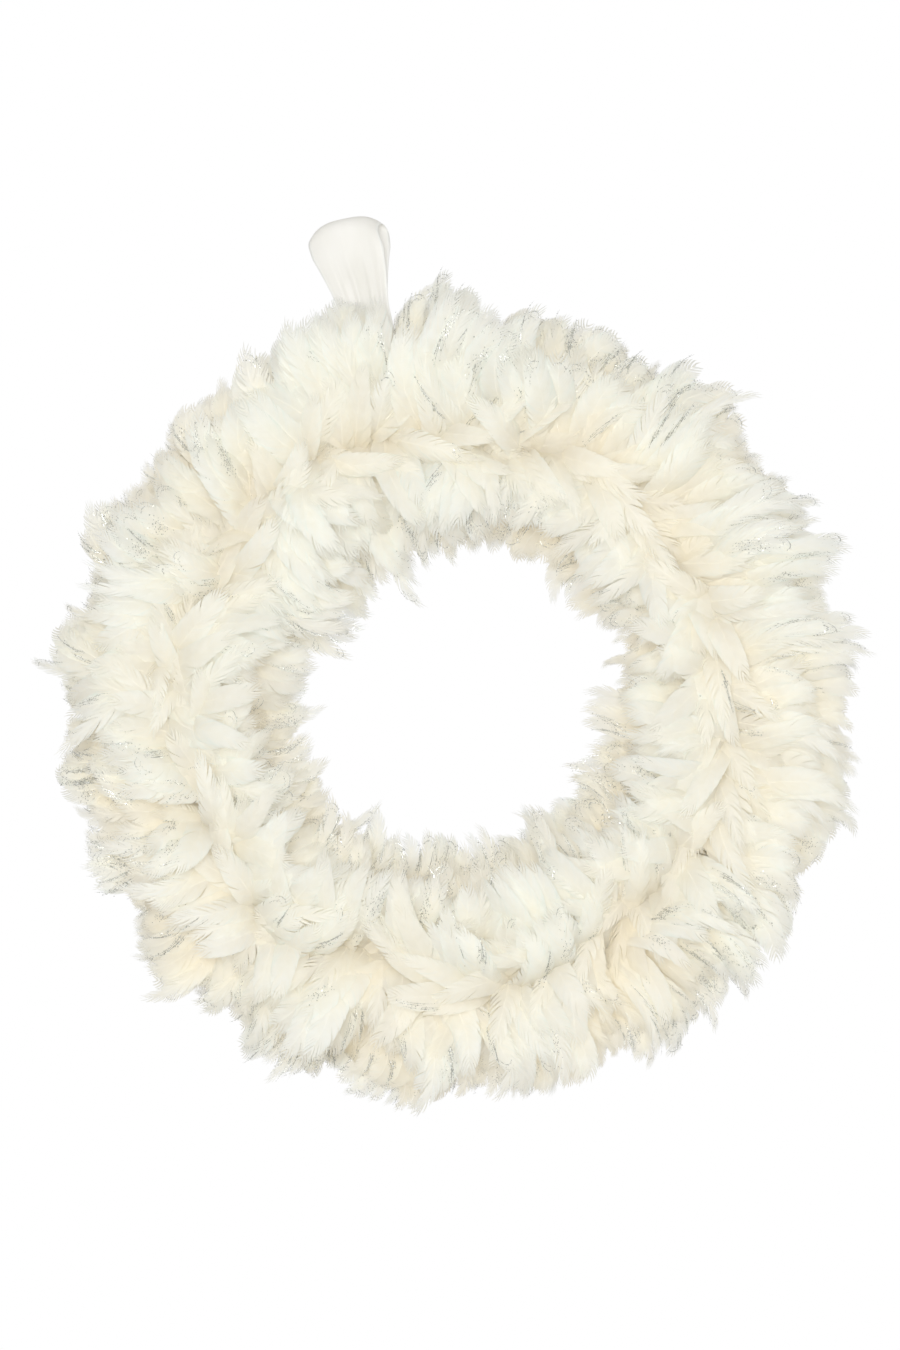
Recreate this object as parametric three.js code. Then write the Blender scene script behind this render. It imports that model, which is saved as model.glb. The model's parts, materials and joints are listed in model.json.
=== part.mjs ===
// Feather wreath with a ribbon hanger, hung upright against a wall.
// Millimetres. +X right, +Z up, the front faces -Y and the wall is on the +Y side.
// The origin is the point of the hanging loop that bears on the hook.
import * as THREE from 'three';

// Ring
const RING_RADIUS = 142;          // ring axis to the middle of the form's section
const RING_DROP = 250;            // hook point down to the ring's axis
const RING_SEGMENTS = 40;

// Foam form: half-round section, flat at the back
const FORM_HALF_WIDTH = 25;
const FORM_HEIGHT = 30;
const FORM_BACK = 4;              // depth of its flat back in front of the wall

// Layers over the form, measured outward from its surface
const WRAP_INNER = 0.3;
const WRAP_OUTER = 0.9;
const WRAP_TUCK = 8;              // how far the wrap is tucked under the form's flat back
const BAND_INNER = 1.4;
const BAND_OUTER = 2.2;
const TAPE_INNER = 3.0;
const TAPE_OUTER = 3.8;
const FEATHER_ROOT = 4.2;

// Felt backing
const FELT_THICKNESS = 1.5;
const FELT_HALF_WIDTH = 24;

// Feather mass: half an ellipse over the form
const FEATHER_HALF_WIDTH = 63.5;
const FEATHER_HEIGHT = 74;
const FEATHER_BACK = 1;           // depth of the rearmost feathers in front of the wall

// The courses, from the outside edge round the front to the inside edge. Each boundary gives the
// angle round the form's section, in degrees, at the feathers' roots and at their tips.
const COURSES = [
  'outer_back', 'outer_side', 'outer_front', 'outer_crest',
  'inner_crest', 'inner_front', 'inner_side', 'inner_back',
];
const ROOT_BOUNDS = [0, 14, 38, 63, 90, 117, 142, 166, 180];
const TIP_BOUNDS = [0, 6.4, 32, 60, 90, 120, 148, 173.6, 180];
const COURSE_GAP = 0.8;           // between neighbouring courses
const RIBBON_GAP = 3.2;           // between the two courses that the ribbon passes
const TAPE_HALF_ANGLE = 5.2;      // half of a tape's width, as an angle round the section

// Ribbon hanger
const RIBBON_THICKNESS = 0.8;
const LOOP_DEPTH = 12.3;          // the loop's middle in front of the wall
const LEG_THICKNESS = 1.4;        // both legs, laid together
const LEG_WIDTH_ANGLE = 3.6;      // half the legs' width, in degrees round the ring
const HINGE_RADIUS = 209.5;       // ring axis to where the loop leaves the feathers
const HINGE_CLEARANCE = 0.8;      // from the hinge axis to each half of the ribbon
const LOOP_HALF_WIDTH = 20;       // at the top fold, across the ribbon
const LOOP_FOOT_SHARE = 0.68;     // width at the foot, as a share of the top
const LOOP_BULGE = 7;             // half of the loop's depth at its widest
const LOOP_FOLD_HEIGHT = 7;       // of the rounded top

const RADIANS = Math.PI / 180;
const LOOP_FOOT = HINGE_RADIUS + HINGE_CLEARANCE - RING_DROP;

const wreath = new THREE.Group();

function material(color, roughness) {
  return new THREE.MeshStandardMaterial({ color, roughness, metalness: 0 });
}

function addPiece(name, geometry, look) {
  const mesh = new THREE.Mesh(geometry, look);
  mesh.name = name;
  wreath.add(mesh);
  return mesh;
}

// A point of the ring's section: u across the section, outward from its middle, and d in front of the wall.
function sectionPoint(u, d) {
  return new THREE.Vector2(RING_RADIUS + u, LOOP_DEPTH - d);
}

// Points along a half ellipse over the form's back plane, from one angle to another.
function ellipseArc(halfWidth, height, from, to, steps) {
  const points = [];
  for (let i = 0; i <= steps; i++) {
    const angle = (from + (to - from) * i / steps) * RADIANS;
    points.push(sectionPoint(halfWidth * Math.cos(angle), FORM_BACK + height * Math.sin(angle)));
  }
  return points;
}

function formArc(offset, from, to, steps) {
  return ellipseArc(FORM_HALF_WIDTH + offset, FORM_HEIGHT + offset, from, to, steps);
}

// Turns a section outline round the ring's axis, with its faces pointing out.
function ring(outline) {
  const points = THREE.ShapeUtils.area(outline) > 0 ? [...outline] : [...outline].reverse();
  points.push(points[0].clone());
  const geometry = new THREE.LatheGeometry(points, RING_SEGMENTS);
  return geometry.translate(0, 0, -RING_DROP);
}

function foamForm() {
  return ring(formArc(0, 0, 180, 8));
}

// The wrap follows the form's round side, turns both edges and stops on the flat back.
function formWrap() {
  const under = (offset, side) =>
    sectionPoint(side * (FORM_HALF_WIDTH - WRAP_TUCK), FORM_BACK - offset);
  const corner = (offset, side) =>
    sectionPoint(side * (FORM_HALF_WIDTH + offset), FORM_BACK - offset);
  const outside = formArc(WRAP_OUTER, 0, 180, 8);
  const inside = formArc(WRAP_INNER, 180, 0, 8);
  return ring([
    under(WRAP_OUTER, 1), corner(WRAP_OUTER, 1), ...outside, corner(WRAP_OUTER, -1), under(WRAP_OUTER, -1),
    under(WRAP_INNER, -1), corner(WRAP_INNER, -1), ...inside, corner(WRAP_INNER, 1), under(WRAP_INNER, 1),
  ]);
}

function feltBacking() {
  return ring([
    sectionPoint(FELT_HALF_WIDTH, 0), sectionPoint(FELT_HALF_WIDTH, FELT_THICKNESS),
    sectionPoint(-FELT_HALF_WIDTH, FELT_THICKNESS), sectionPoint(-FELT_HALF_WIDTH, 0),
  ]);
}

function headerTape(course) {
  const middle = (ROOT_BOUNDS[course] + ROOT_BOUNDS[course + 1]) / 2;
  const from = middle - TAPE_HALF_ANGLE;
  const to = middle + TAPE_HALF_ANGLE;
  return ring([...formArc(TAPE_INNER, from, to, 1), ...formArc(TAPE_OUTER, to, from, 1)]);
}

// The gap between two courses, as an angle at a distance from the section's middle.
function gapAngle(boundary, distance) {
  const ends = boundary === 0 || boundary === COURSES.length;
  const gap = ends ? 0 : boundary === 1 ? RIBBON_GAP : COURSE_GAP;
  return gap / 2 / distance / RADIANS;
}

// One course of feathers: the wedge between its neighbours, from its tape out to the tips.
function featherCourse(course) {
  const rootReach = FORM_HEIGHT + FEATHER_ROOT;
  const rootFrom = ROOT_BOUNDS[course] + gapAngle(course, rootReach);
  const rootTo = ROOT_BOUNDS[course + 1] - gapAngle(course + 1, rootReach);
  const tipFrom = TIP_BOUNDS[course] + gapAngle(course, FEATHER_HEIGHT);
  const tipTo = TIP_BOUNDS[course + 1] - gapAngle(course + 1, FEATHER_HEIGHT);
  const roots = formArc(FEATHER_ROOT, rootTo, rootFrom, 2);
  const tips = ellipseArc(FEATHER_HALF_WIDTH, FEATHER_HEIGHT, tipFrom, tipTo, 3);
  const outline = [...tips, ...roots];
  const rootSide = FORM_HALF_WIDTH + FEATHER_ROOT;
  const tipSide = FEATHER_HALF_WIDTH - 2;
  if (course === 0) {
    outline.push(sectionPoint(rootSide, FEATHER_BACK), sectionPoint(tipSide, FEATHER_BACK));
  }
  if (course === COURSES.length - 1) {
    outline.splice(tips.length, 0, sectionPoint(-tipSide, FEATHER_BACK), sectionPoint(-rootSide, FEATHER_BACK));
  }
  return ring(outline);
}

// Bends a strip that was extruded along its width round the ring's axis. Its outline holds the
// distance from the ring's axis as x and the depth in front of the wall as y.
function bendRound(geometry) {
  const position = geometry.attributes.position;
  for (let i = 0; i < position.count; i++) {
    const radius = position.getX(i);
    const depth = position.getY(i);
    const angle = position.getZ(i) * RADIANS;
    position.setXYZ(i, radius * Math.sin(angle), LOOP_DEPTH - depth, radius * Math.cos(angle) - RING_DROP);
  }
  return geometry;
}

// The ribbon where it goes round the form, with its two legs up to the foot of the loop.
function ribbonBand() {
  const side = FORM_HALF_WIDTH + BAND_OUTER;
  const height = FORM_HEIGHT + BAND_OUTER;
  const legTop = HINGE_RADIUS - HINGE_CLEARANCE;
  const legLow = LOOP_DEPTH - LEG_THICKNESS / 2;
  const legHigh = LOOP_DEPTH + LEG_THICKNESS / 2;
  const onBand = (depth) => Math.asin((depth - FORM_BACK) / height);
  const outside = new THREE.Shape();
  outside.moveTo(RING_RADIUS - side, FORM_BACK - BAND_OUTER + 0.1);
  outside.lineTo(RING_RADIUS + side, FORM_BACK - BAND_OUTER + 0.1);
  outside.lineTo(RING_RADIUS + side, FORM_BACK);
  outside.lineTo(RING_RADIUS + side * Math.cos(onBand(legLow)), legLow);
  outside.lineTo(legTop, legLow);
  outside.lineTo(legTop, legHigh);
  outside.absellipse(RING_RADIUS, FORM_BACK, side, height, onBand(legHigh), Math.PI, false);
  const innerSide = FORM_HALF_WIDTH + BAND_INNER;
  const inside = new THREE.Path();
  inside.moveTo(RING_RADIUS + innerSide, FORM_BACK - BAND_INNER + 0.1);
  inside.lineTo(RING_RADIUS + innerSide, FORM_BACK);
  inside.absellipse(RING_RADIUS, FORM_BACK, innerSide, FORM_HEIGHT + BAND_INNER, 0, Math.PI, false);
  inside.lineTo(RING_RADIUS - innerSide, FORM_BACK - BAND_INNER + 0.1);
  outside.holes.push(inside);
  const geometry = new THREE.ExtrudeGeometry(outside, {
    depth: 2 * LEG_WIDTH_ANGLE, steps: 2, curveSegments: 12, bevelEnabled: false,
  });
  geometry.translate(0, 0, -LEG_WIDTH_ANGLE);
  return bendRound(geometry);
}

// The loop seen from its side: a teardrop that rises from a narrow foot to a round fold.
function teardrop(path, foot, footHalf, bulge, fold) {
  const shoulder = -LOOP_FOLD_HEIGHT;
  const reach = (shoulder - foot) / 2;
  path.moveTo(footHalf, foot);
  path.bezierCurveTo(footHalf, foot + reach, bulge, shoulder - reach, bulge, shoulder);
  path.absellipse(0, shoulder, bulge, fold, 0, Math.PI, false);
  path.bezierCurveTo(-bulge, shoulder - reach, -footHalf, foot + reach, -footHalf, foot);
  return path;
}

function hangingLoop() {
  const outline = teardrop(
    new THREE.Shape(), LOOP_FOOT, LEG_THICKNESS / 2, LOOP_BULGE, LOOP_FOLD_HEIGHT + RIBBON_THICKNESS);
  outline.holes.push(teardrop(
    new THREE.Path(), LOOP_FOOT + 6, 0.2, LOOP_BULGE - RIBBON_THICKNESS, LOOP_FOLD_HEIGHT));
  const geometry = new THREE.ExtrudeGeometry(outline, {
    depth: 2 * LOOP_HALF_WIDTH, steps: 1, curveSegments: 10, bevelEnabled: false,
  });
  geometry.translate(0, 0, -LOOP_HALF_WIDTH);
  const toFrame = new THREE.Matrix4().makeBasis(
    new THREE.Vector3(0, 1, 0), new THREE.Vector3(0, 0, 1), new THREE.Vector3(1, 0, 0));
  geometry.applyMatrix4(toFrame);
  const position = geometry.attributes.position;
  for (let i = 0; i < position.count; i++) {
    const share = THREE.MathUtils.lerp(1, LOOP_FOOT_SHARE, Math.min(1, position.getZ(i) / LOOP_FOOT));
    position.setX(i, position.getX(i) * Math.min(1, share));
  }
  return geometry;
}

const foam = material(0xf4f3ee, 0.85);
const cotton = material(0xece4d0, 0.9);
const felt = material(0xf1ede2, 0.95);
const ribbon = material(0xf4f3ef, 0.45);
const feather = material(0xefe9d6, 0.8);

addPiece('foam_form', foamForm(), foam);
addPiece('form_wrap', formWrap(), cotton);
addPiece('felt_backing', feltBacking(), felt);
addPiece('ribbon_band', ribbonBand(), ribbon);
COURSES.forEach((name, course) => {
  addPiece(`tape_${name}`, headerTape(course), cotton);
  addPiece(`feathers_${name}`, featherCourse(course), feather);
});
addPiece('hanging_loop', hangingLoop(), ribbon);

export default wreath;
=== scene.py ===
"""Feather wreath with a ribbon hanger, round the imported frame. Metres, +Z up, the front faces -Y."""

import json
import math

import bpy
import numpy as np
from mathutils import Matrix, Vector

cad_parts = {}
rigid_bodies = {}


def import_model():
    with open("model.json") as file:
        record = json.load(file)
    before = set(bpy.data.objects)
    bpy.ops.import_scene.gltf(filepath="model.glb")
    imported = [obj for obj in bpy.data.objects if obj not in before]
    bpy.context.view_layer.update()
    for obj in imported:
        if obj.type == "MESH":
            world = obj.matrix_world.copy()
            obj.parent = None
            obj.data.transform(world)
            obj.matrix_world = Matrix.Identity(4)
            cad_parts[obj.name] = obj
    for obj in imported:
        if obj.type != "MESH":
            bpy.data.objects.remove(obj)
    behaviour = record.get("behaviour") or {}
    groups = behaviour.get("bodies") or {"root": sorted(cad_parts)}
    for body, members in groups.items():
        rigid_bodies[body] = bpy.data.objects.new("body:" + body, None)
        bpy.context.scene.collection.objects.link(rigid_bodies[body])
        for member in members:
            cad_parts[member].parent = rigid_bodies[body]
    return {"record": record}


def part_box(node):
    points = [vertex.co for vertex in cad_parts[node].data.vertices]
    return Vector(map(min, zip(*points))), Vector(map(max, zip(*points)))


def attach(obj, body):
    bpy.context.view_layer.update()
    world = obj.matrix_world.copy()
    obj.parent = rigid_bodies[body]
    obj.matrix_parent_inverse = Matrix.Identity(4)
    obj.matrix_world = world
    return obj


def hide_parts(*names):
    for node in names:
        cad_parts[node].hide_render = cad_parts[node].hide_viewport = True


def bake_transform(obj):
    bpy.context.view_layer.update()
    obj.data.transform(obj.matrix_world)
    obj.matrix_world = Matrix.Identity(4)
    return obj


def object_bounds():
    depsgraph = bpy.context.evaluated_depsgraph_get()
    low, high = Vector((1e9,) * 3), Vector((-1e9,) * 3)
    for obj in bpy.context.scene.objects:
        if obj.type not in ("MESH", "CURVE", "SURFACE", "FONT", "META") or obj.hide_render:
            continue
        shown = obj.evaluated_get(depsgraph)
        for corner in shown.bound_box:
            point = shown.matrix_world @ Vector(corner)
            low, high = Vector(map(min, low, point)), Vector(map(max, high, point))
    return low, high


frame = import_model()
cad_low, cad_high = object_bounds()

# ---------------------------------------------------------------- the ring, from the frame

MM = 0.001
FORM_HALF_WIDTH = 25 * MM
form_low, form_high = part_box("foam_form")
CENTRE = (form_low + form_high) / 2
RING_RADIUS = (form_high.x - form_low.x) / 2 - FORM_HALF_WIDTH
FORM_HEIGHT = form_high.y - form_low.y
WALL_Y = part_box("felt_backing")[1].y
FORM_BACK = WALL_Y - form_high.y  # the form's flat back is this far in front of the wall
ROOT_OFFSET = 3.6 * MM  # quills start just outside the tapes


def ring_axes(angle):
    """Outward, front and clockwise directions at an angle round the ring, clockwise from the top."""
    sine, cosine, none = np.sin(angle), np.cos(angle), np.zeros_like(angle)
    outward = np.stack([sine, none, cosine], axis=-1)
    front = np.stack([none, none - 1, none], axis=-1)
    clockwise = np.stack([cosine, none, -sine], axis=-1)
    return outward, front, clockwise


def ring_point(angle, radius, depth):
    """A point at a distance from the ring's axis and at a depth in front of the wall."""
    outward, front, _ = ring_axes(angle)
    middle = np.array([CENTRE.x, WALL_Y, CENTRE.z])
    return middle + outward * radius[..., None] + front * depth[..., None]


def root_point(angle, section):
    """A point just outside the tapes. The section angle goes from outward over the front to inward."""
    radius = RING_RADIUS + (FORM_HALF_WIDTH + ROOT_OFFSET) * np.cos(section)
    depth = FORM_BACK + (FORM_HEIGHT + ROOT_OFFSET) * np.sin(section)
    return ring_point(angle, radius, depth)


# ---------------------------------------------------------------- node helpers


def new_material(name):
    material = bpy.data.materials.new(name)
    material.use_nodes = True
    nodes = material.node_tree.nodes
    nodes.clear()
    return material, nodes, material.node_tree.links


def node(nodes, kind, **values):
    made = nodes.new(kind)
    for key, value in values.items():
        setattr(made, key, value)
    return made


def srgb(red, green, blue):
    """A colour given as 0 to 255, as the linear colour that shaders take."""
    parts = [value / 255 for value in (red, green, blue)]
    return [p / 12.92 if p <= 0.04045 else ((p + 0.055) / 1.055) ** 2.4 for p in parts] + [1.0]


def ramp(nodes, links, source, stops):
    """A colour ramp through (position, colour) stops."""
    made = nodes.new("ShaderNodeValToRGB")
    elements = made.color_ramp.elements
    while len(elements) < len(stops):
        elements.new(0.5)
    for element, (position, colour) in zip(elements, stops):
        element.position = position
        element.color = colour
    links.new(source, made.inputs["Fac"])
    return made.outputs["Color"]


def feed(links, value, socket):
    """Links another node's output to a socket, or sets the socket to a plain value."""
    if isinstance(value, bpy.types.NodeSocket):
        links.new(value, socket)
    else:
        socket.default_value = value


def mix_colour(nodes, links, share, first, second, blend="MIX"):
    made = node(nodes, "ShaderNodeMix", data_type="RGBA", blend_type=blend)
    for index, value in ((0, share), (6, first), (7, second)):
        feed(links, value, made.inputs[index])
    return made.outputs[2]


def maths(nodes, links, operation, *values):
    made = node(nodes, "ShaderNodeMath", operation=operation)
    for value, socket in zip(values, made.inputs):
        feed(links, value, socket)
    return made.outputs[0]


def noise(nodes, links, scale, detail=3.0, stretch=(1, 1, 1)):
    """Noise over the object's own place, in cycles a metre."""
    place = nodes.new("ShaderNodeTexCoord")
    mapping = nodes.new("ShaderNodeMapping")
    mapping.inputs["Scale"].default_value = stretch
    made = nodes.new("ShaderNodeTexNoise")
    made.inputs["Scale"].default_value = scale
    made.inputs["Detail"].default_value = detail
    links.new(place.outputs["Object"], mapping.inputs["Vector"])
    links.new(mapping.outputs["Vector"], made.inputs["Vector"])
    return made.outputs["Fac"]


def attribute(nodes, name):
    made = node(nodes, "ShaderNodeAttribute", attribute_type="GEOMETRY", attribute_name=name)
    return made.outputs["Fac"]


def bump(nodes, links, height, strength, distance):
    made = nodes.new("ShaderNodeBump")
    made.inputs["Strength"].default_value = strength
    made.inputs["Distance"].default_value = distance
    links.new(height, made.inputs["Height"])
    return made.outputs["Normal"]


def principled(nodes, links, values):
    """A principled shader with these inputs, each a plain value or another node's output."""
    made = nodes.new("ShaderNodeBsdfPrincipled")
    for name, value in values.items():
        feed(links, value, made.inputs[name])
    return made.outputs["BSDF"]


def let_light_through(nodes, links, shader, colour, share):
    """Mixes a shader with a share of light that comes through from the other side."""
    through = nodes.new("ShaderNodeBsdfTranslucent")
    links.new(colour, through.inputs["Color"])
    both = nodes.new("ShaderNodeMixShader")
    both.inputs["Fac"].default_value = share
    links.new(shader, both.inputs[1])
    links.new(through.outputs["BSDF"], both.inputs[2])
    return both.outputs["Shader"]


def output(nodes, links, shader):
    links.new(shader, nodes.new("ShaderNodeOutputMaterial").inputs["Surface"])


# ---------------------------------------------------------------- materials


def feather_vane():
    """Cream at the quill and cooler towards the tip, partly the feather's own colour and partly painted
    shade at the feet deep in the plumage; paler rims as a painted highlight; warmer near the form as
    painted shade through the tint; with light coming through the barbs.
    """
    material, nodes, links = new_material("feather_vane")
    tone = attribute(nodes, "tone")
    tint = attribute(nodes, "tint")
    along = ramp(nodes, links, tone, [
        (0.0, srgb(254, 251, 240)), (0.4, srgb(254, 253, 246)),
        (0.7, srgb(252, 253, 249)), (1.0, srgb(244, 251, 248)),
    ])
    # the tint mixes in warmer cream: each feather's own warmth plus painted shade near the form and a
    # painted highlight at the tips
    warm = mix_colour(nodes, links, tint, along, srgb(255, 250, 236))
    fleck = ramp(nodes, links, noise(nodes, links, 240), [
        (0.3, srgb(251, 250, 247)), (0.7, srgb(255, 255, 255))])
    colour = mix_colour(nodes, links, 1.0, warm, fleck, "MULTIPLY")
    shader = principled(nodes, links, {
        "Base Color": colour, "Roughness": 0.55, "Sheen Weight": 0.2, "Sheen Roughness": 0.4})
    output(nodes, links, let_light_through(nodes, links, shader, colour, 0.75))
    return material


def feather_shaft():
    """Smooth quill, darker cream at its foot."""
    material, nodes, links = new_material("feather_shaft")
    colour = ramp(nodes, links, attribute(nodes, "tone"), [
        (0.0, srgb(250, 240, 214)), (1.0, srgb(252, 249, 240))])
    output(nodes, links, principled(nodes, links, {"Base Color": colour, "Roughness": 0.38}))
    return material


def silver_glitter():
    """Fine silver flakes: each cell has a tilt of its own and a painted brightness, from painted dark
    reflections to painted glints.
    """
    material, nodes, links = new_material("silver_glitter")
    place = nodes.new("ShaderNodeTexCoord")
    cells = node(nodes, "ShaderNodeTexVoronoi", feature="F1")
    cells.inputs["Scale"].default_value = 2600
    links.new(place.outputs["Object"], cells.inputs["Vector"])
    parts = nodes.new("ShaderNodeSeparateColor")
    links.new(cells.outputs["Color"], parts.inputs["Color"])
    # each flake's brightness is painted: dark grey stands in for a painted dark reflection, near white for
    # a painted glint
    colour = ramp(nodes, links, parts.outputs["Red"], [
        (0.0, srgb(84, 88, 80)), (0.5, srgb(132, 136, 127)),
        (0.8, srgb(190, 192, 184)), (1.0, srgb(250, 250, 246))])
    shader = principled(nodes, links, {
        "Base Color": colour, "Metallic": 0.85,
        "Roughness": maths(nodes, links, "MULTIPLY_ADD", parts.outputs["Green"], 0.3, 0.22),
        "Normal": bump(nodes, links, parts.outputs["Blue"], 0.6, 0.3 * MM)})
    output(nodes, links, shader)
    return material


def ring_coordinates(nodes, links):
    """Distance round the ring, distance from its axis and depth, in metres, from the object's place."""
    place = nodes.new("ShaderNodeTexCoord")
    parts = nodes.new("ShaderNodeSeparateXYZ")
    links.new(place.outputs["Object"], parts.inputs["Vector"])
    across = maths(nodes, links, "SUBTRACT", parts.outputs["X"], CENTRE.x)
    upward = maths(nodes, links, "SUBTRACT", parts.outputs["Z"], CENTRE.z)
    angle = maths(nodes, links, "ARCTAN2", across, upward)
    squares = [maths(nodes, links, "MULTIPLY", value, value) for value in (across, upward)]
    radius = maths(nodes, links, "SQRT", maths(nodes, links, "ADD", *squares))
    return maths(nodes, links, "MULTIPLY", angle, RING_RADIUS), radius, parts.outputs["Y"]


def threads(nodes, links, along, across, pitch):
    """A plain weave's height, 0 to 1, from two distances in metres."""
    waves = []
    for value in (along, across):
        turns = maths(nodes, links, "MULTIPLY", value, 2 * math.pi / pitch)
        waves.append(maths(nodes, links, "SINE", turns))
    crossed = maths(nodes, links, "MULTIPLY", *waves)
    return maths(nodes, links, "MULTIPLY_ADD", crossed, 0.5, 0.5)


def cotton():
    """Natural plain-weave tape with slubs."""
    material, nodes, links = new_material("cotton_tape")
    along, radius, depth = ring_coordinates(nodes, links)
    across = maths(nodes, links, "ADD", radius, depth)
    weave = threads(nodes, links, along, across, 1.1 * MM)
    slub = noise(nodes, links, 420)
    height = maths(nodes, links, "ADD", weave, slub)
    colour = mix_colour(nodes, links, weave, srgb(226, 216, 192), srgb(243, 236, 217))
    worn = ramp(nodes, links, noise(nodes, links, 60), [
        (0.35, srgb(244, 241, 233)), (0.65, srgb(255, 255, 255))])
    shader = principled(nodes, links, {
        "Base Color": mix_colour(nodes, links, 1.0, colour, worn, "MULTIPLY"),
        "Roughness": 0.9, "Sheen Weight": 0.15,
        "Normal": bump(nodes, links, height, 0.7, 0.4 * MM)})
    output(nodes, links, shader)
    return material


def felt():
    """Pressed felt: matted fibres with a few darker specks."""
    material, nodes, links = new_material("pressed_felt")
    fibre = noise(nodes, links, 520, 5.0, (1, 1, 0.16))
    crossing = noise(nodes, links, 520, 5.0, (0.16, 1, 1))
    matted = maths(nodes, links, "MAXIMUM", fibre, crossing)
    cloud = noise(nodes, links, 38)
    colour = ramp(nodes, links, matted, [(0.42, srgb(212, 203, 182)), (0.68, srgb(249, 245, 234))])
    patch = ramp(nodes, links, cloud, [(0.3, srgb(236, 232, 222)), (0.7, srgb(255, 255, 255))])
    shader = principled(nodes, links, {
        "Base Color": mix_colour(nodes, links, 1.0, colour, patch, "MULTIPLY"),
        "Roughness": 0.95, "Sheen Weight": 0.3,
        "Normal": bump(nodes, links, matted, 0.8, 0.6 * MM)})
    output(nodes, links, shader)
    return material


def foam():
    """White foam of pressed beads about 3 mm across."""
    material, nodes, links = new_material("beaded_foam")
    place = nodes.new("ShaderNodeTexCoord")
    beads = node(nodes, "ShaderNodeTexVoronoi", feature="DISTANCE_TO_EDGE")
    beads.inputs["Scale"].default_value = 330
    links.new(place.outputs["Object"], beads.inputs["Vector"])
    colour = ramp(nodes, links, beads.outputs["Distance"], [
        (0.0, srgb(222, 220, 214)), (0.12, srgb(246, 245, 241))])
    shader = principled(nodes, links, {
        "Base Color": colour, "Roughness": 0.7,
        "Normal": bump(nodes, links, beads.outputs["Distance"], 0.6, 0.6 * MM)})
    output(nodes, links, shader)
    return material


def satin():
    """White ribbon: a fine weave that lets some light through, closer woven at its two edges."""
    material, nodes, links = new_material("satin_ribbon")
    along = attribute(nodes, "along")
    across = attribute(nodes, "across")
    weave = threads(nodes, links, along, across, 0.55 * MM)
    edge = maths(nodes, links, "ABSOLUTE", across)
    selvedge = maths(nodes, links, "GREATER_THAN", edge, RIBBON_WIDTH / 2 - 1.3 * MM)
    cloth = mix_colour(nodes, links, weave, srgb(239, 237, 232), srgb(247, 246, 242))
    colour = mix_colour(nodes, links, selvedge, cloth, srgb(246, 246, 243))
    faint = ramp(nodes, links, noise(nodes, links, 70, 2.0, (1, 1, 0.3)), [
        (0.3, srgb(247, 247, 244)), (0.7, srgb(255, 255, 255))])
    tinted = mix_colour(nodes, links, 1.0, colour, faint, "MULTIPLY")
    height = maths(nodes, links, "ADD", weave, selvedge)
    shader = principled(nodes, links, {
        "Base Color": tinted, "Roughness": 0.5, "Sheen Weight": 0.2,
        "Normal": bump(nodes, links, height, 0.35, 0.1 * MM)})
    output(nodes, links, let_light_through(nodes, links, shader, tinted, 0.5))
    return material


def dress(name, material):
    """Gives a CAD node a better material."""
    for slot in bpy.data.objects[name].material_slots:
        slot.material = material


def dress_form():
    """Materials for the CAD nodes that stay: form, wrap, felt and tapes."""
    tape = cotton()
    dress("foam_form", foam())
    dress("felt_backing", felt())
    dress("form_wrap", tape)
    for name in COURSES:
        dress(f"tape_{name}", tape)


# ---------------------------------------------------------------- one feather

# A template is one feather in its own proportions: s runs along its length, x and z are in
# half-widths of its vane. MIDDLE_LENGTH and MIDDLE_WIDTH turn millimetres into those.
MIDDLE_LENGTH = 50.0
MIDDLE_WIDTH = 8.5
BARBS = 32  # tufts of barbs on each side of the shaft
STATIONS = np.array([0.0, 0.4, 0.82, 1.0])  # places along a barb
DOWN_STRANDS = 16
SHAFT_STEPS = 6
TEMPLATES = 17
FRAYED = 7  # this many of the templates, the last ones, have loose tips
GLITTER_TEMPLATES = 20
GLITTER_COATS = 3  # a feather can get up to this many glitter templates
FRAME_STEPS = 18
REACH = (-0.06, 1.3)  # how far along its length a feather's curve is worked out
STROKE_THICKNESS = (0.14, 0.42)  # mm
PATCH_FLAKES = 64
CAMBER = 0.14  # how far a vane's edges bend down
VANE, SHAFT, GLITTER = 0, 1, 2  # material slots


class Shape:
    """Collects points and faces with a material and a tone."""

    def __init__(self):
        self.points, self.faces, self.kinds, self.tone = [], [], [], []

    def add(self, points, faces, kind, tones):
        first = len(self.points)
        self.points.extend(points)
        self.faces.extend([tuple(first + corner for corner in face) for face in faces])
        self.kinds.extend([kind] * len(faces))
        self.tone.extend(tones)

    def arrays(self):
        return {
            "points": np.array(self.points, dtype=float),
            "sizes": np.array([len(face) for face in self.faces]),
            "corners": np.concatenate([np.array(face) for face in self.faces]),
            "kinds": np.array(self.kinds),
            "tone": np.clip(np.array(self.tone, dtype=float), 0, 1),
        }


def vane_half_width(s, fullness):
    """Half-width of the vane, from 0 to 1, at a place along the feather."""
    rise = np.clip((s - 0.04) / 0.4, 0, 1)
    low = 0.4 + 0.6 * rise * rise * (3 - 2 * rise)
    over = np.clip((s - 0.54) / 0.49, 0, 1)
    return low * np.sqrt(np.clip(1 - over ** fullness, 0, 1))


def strip(path, half, tilt):
    """A flat strip along (s, x, z) points: its points and faces."""
    points, faces = [], []
    for (s, x, z), wide, rise in zip(path, half, tilt):
        points.append((s - wide, x, z - rise))
        points.append((s + wide, x, z + rise))
    for i in range(len(path) - 1):
        faces.append((2 * i, 2 * i + 1, 2 * i + 3, 2 * i + 2))
    return points, faces


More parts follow.
